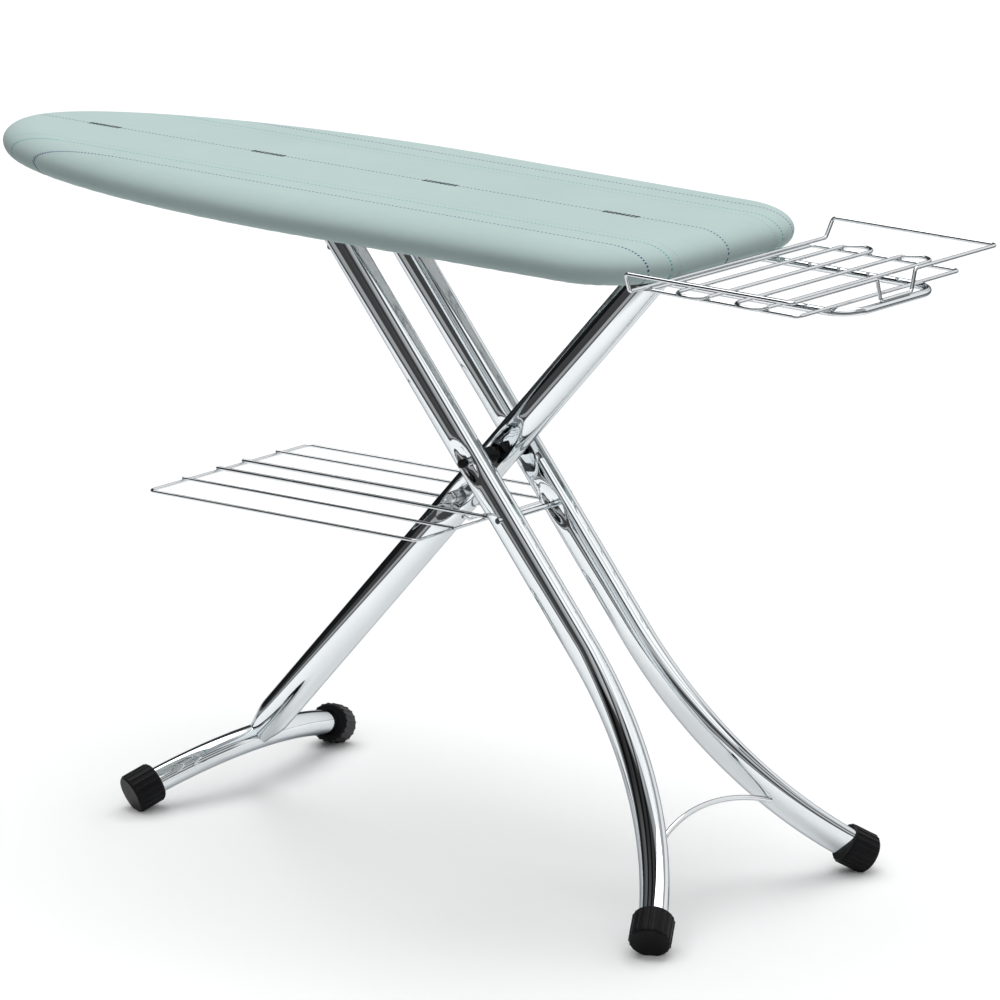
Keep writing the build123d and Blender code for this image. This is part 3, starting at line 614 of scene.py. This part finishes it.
# %% Sweep an oval along a path
LEG_DEEP = 0.050
LEG_WIDE = 0.030
OVAL_POINTS = 56
WALL = 0.0015
STATION_STEP = 0.006
LEG_END = 0.022                # how far a leg runs on past its top axle or hinge
OUTER, INNER = 1, -1           # the two flat sides of an oval
SIDE_LIMIT = 0.15              # points nearer the oval's narrow edges stay as they are
down_front = (pivot - top_axle).normalized()
up_rear = (board_hinge - pivot).normalized()
across = Vector((0, 1, 0))


def ease(share):
    """A smooth step from 0 to 1."""
    return share * share * (3 - 2 * share)


def dimple_depth(point, side, dimples):
    """How far the press pushed this point in, towards the tube's middle plane."""
    depth = 0.0
    for centre, run, face, length, width, sink in dimples:
        if side * face < SIDE_LIMIT:
            continue
        away = point - centre
        along = away.dot(run) / length
        over = away - run * away.dot(run)
        over.y = 0
        fall = 1 - along * along - (over.length / width) ** 2
        if fall > 0:
            depth += sink * ease(fall)
    return depth


def sweep_oval(name, stations, deep, wide, dimples=()):
    """stations are (centre, deep axis, wide axis); the ends are closed by the end plugs' faces."""
    bpy.ops.object.select_all(action="DESELECT")
    bpy.ops.mesh.primitive_circle_add(vertices=OVAL_POINTS, radius=deep / 2, fill_type="NOTHING")
    tube = bpy.context.object
    tube.name = name
    for k, (centre, deep_axis, wide_axis) in enumerate(stations):
        if k:
            bpy.ops.object.mode_set(mode="EDIT")
            bpy.ops.mesh.extrude_region_move(TRANSFORM_OT_translate={"value": (0, 0, 0.001)})
            bpy.ops.object.mode_set(mode="OBJECT")
        for n in range(OVAL_POINTS):
            turn = 2 * math.pi * n / OVAL_POINTS
            side = math.sin(turn)
            point = centre + deep_axis * (deep / 2 * math.cos(turn)) + wide_axis * (wide / 2 * side)
            point -= wide_axis * (math.copysign(1, side) * dimple_depth(point, side, dimples))
            tube.data.vertices[k * OVAL_POINTS + n].co = point
    bpy.ops.object.location_clear()
    bpy.ops.object.mode_set(mode="EDIT")
    bpy.ops.mesh.select_all(action="SELECT")
    bpy.ops.mesh.normals_make_consistent(inside=False)
    bpy.ops.object.mode_set(mode="OBJECT")
    bpy.ops.object.shade_smooth()
    return tube


def finish_tube(tube, body, node):
    """Gives the tube its wall, a material and its place on the frame."""
    solid = tube.modifiers.new("wall", "SOLIDIFY")
    solid.thickness = WALL
    solid.offset = -1
    bpy.ops.object.modifier_apply(modifier="wall")
    bpy.ops.object.shade_smooth_by_angle(angle=math.radians(40))
    tube.data.materials.append(finishes["chrome"])
    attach(tube, body)
    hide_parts(node)
    print(tube.name, len(tube.data.polygons), "faces")


# %% Front legs
FRONT_BEND_RADIUS = 0.522
FRONT_BEND_ANGLE = math.radians(48.3)
FRONT_ARC_STATIONS = 64
CAP_RADIUS = 0.028
CAP_END = 0.005
CAP_FLAT = 0.004
DIMPLE_SINK = 0.0045
PIVOT_DIMPLE_OUTER = (0.036, 0.014)      # length and width
PIVOT_DIMPLE_INNER = (0.050, 0.017)
ROD_DIMPLE = (0.038, 0.015)
rail_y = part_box("front_leg_far")[0].y + LEG_WIDE / 2
cross_rod = (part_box("cross_rod")[0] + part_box("cross_rod")[1]) / 2
front_normal = down_front.cross(across).normalized()


def front_reach():
    """Distance from the main pivot to the end of a rail, as the cap stands on the floor."""
    dip = math.cos(FRONT_BEND_ANGLE) * -down_front.z
    cap_z = CAP_RADIUS * math.sqrt(1 - dip * dip) - CAP_FLAT
    return (pivot.z - cap_z) / -down_front.z - CAP_END * math.cos(FRONT_BEND_ANGLE)


def front_stations(side):
    """Straight down from the top, then splayed outwards on one tangent arc."""
    upper = (pivot - top_axle).length + LEG_END
    straight = front_reach() - FRONT_BEND_RADIUS * math.sin(FRONT_BEND_ANGLE)
    stations = []
    count = int((upper + straight) / STATION_STEP)
    for k in range(count + 1):
        along = -upper + (upper + straight) * k / count
        centre = pivot + down_front * along + across * (side * rail_y)
        stations.append((centre, front_normal, across * side))
    for k in range(1, FRONT_ARC_STATIONS + 1):
        turn = FRONT_BEND_ANGLE * k / FRONT_ARC_STATIONS
        along = straight + FRONT_BEND_RADIUS * math.sin(turn)
        out = rail_y + FRONT_BEND_RADIUS * (1 - math.cos(turn))
        centre = pivot + down_front * along + across * (side * out)
        wide = across * (side * math.cos(turn)) - down_front * math.sin(turn)
        stations.append((centre, front_normal, wide))
    return stations


for name, side in (("front_leg_near", -1), ("front_leg_far", 1)):
    shift = across * (side * rail_y)
    dimples = [(pivot + shift, down_front, OUTER, *PIVOT_DIMPLE_OUTER, DIMPLE_SINK),
               (pivot + shift, down_front, INNER, *PIVOT_DIMPLE_INNER, DIMPLE_SINK),
               (cross_rod + shift, down_front, INNER, *ROD_DIMPLE, DIMPLE_SINK)]
    tube = sweep_oval(name + "_tube", front_stations(side), LEG_DEEP, LEG_WIDE, dimples)
    finish_tube(tube, "front_legs", name)

# %% Rear leg and its foot
FOOT_TUBE = 0.036
FOOT_RADIUS = 0.441
FOOT_HALF_SPAN = 0.210
FOOT_HALF_STATIONS = 45
PINCH = 0.62                   # depth of the leg's lower end, as a share of the full tube
PINCH_LENGTH = 0.055
REAR_PIVOT_DIMPLE = (0.085, 0.018, 0.0055)      # length, width and sink
SHELF_PIN_DIMPLE = (0.060, 0.017, 0.004)
rear_normal = up_rear.cross(across).normalized()
foot_drop = pivot.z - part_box("foot_tube")[1].z + FOOT_TUBE / 2
foot_centre = pivot - up_rear * (foot_drop / up_rear.z)


def rear_stations():
    """Straight up from the foot, where the tube is pinched, to the board's hinge."""
    end = board_hinge + up_rear * LEG_END
    length = (end - foot_centre).length
    count = int(length / STATION_STEP)
    stations = []
    for k in range(count + 1):
        share = min(length * k / count / PINCH_LENGTH, 1)
        pinch = PINCH + (1 - PINCH) * ease(share)
        stations.append((foot_centre.lerp(end, k / count), rear_normal * pinch, across))
    return stations


def foot_stations():
    """An arc from side to side that falls away from the leg's end."""
    stations = []
    half_turn = math.asin(FOOT_HALF_SPAN / FOOT_RADIUS)
    for k in range(-FOOT_HALF_STATIONS, FOOT_HALF_STATIONS + 1):
        turn = half_turn * k / FOOT_HALF_STATIONS
        drop = up_rear * (FOOT_RADIUS * (1 - math.cos(turn)))
        centre = foot_centre - drop + across * (FOOT_RADIUS * math.sin(turn))
        outward = up_rear * math.cos(turn) + across * math.sin(turn)
        stations.append((centre, outward, rear_normal))
    return stations


rear_dimples = [(bolt, up_rear, face, *size)
                for bolt, size in ((pivot, REAR_PIVOT_DIMPLE), (shelf_pin, SHELF_PIN_DIMPLE))
                for face in (OUTER, INNER)]
rear_tube = sweep_oval("rear_tube", rear_stations(), LEG_DEEP, LEG_WIDE, rear_dimples)
finish_tube(rear_tube, "rear_leg", "rear_leg_tube")
foot_arch = sweep_oval("foot_arch", foot_stations(), FOOT_TUBE, FOOT_TUBE)
finish_tube(foot_arch, "rear_leg", "foot_tube")
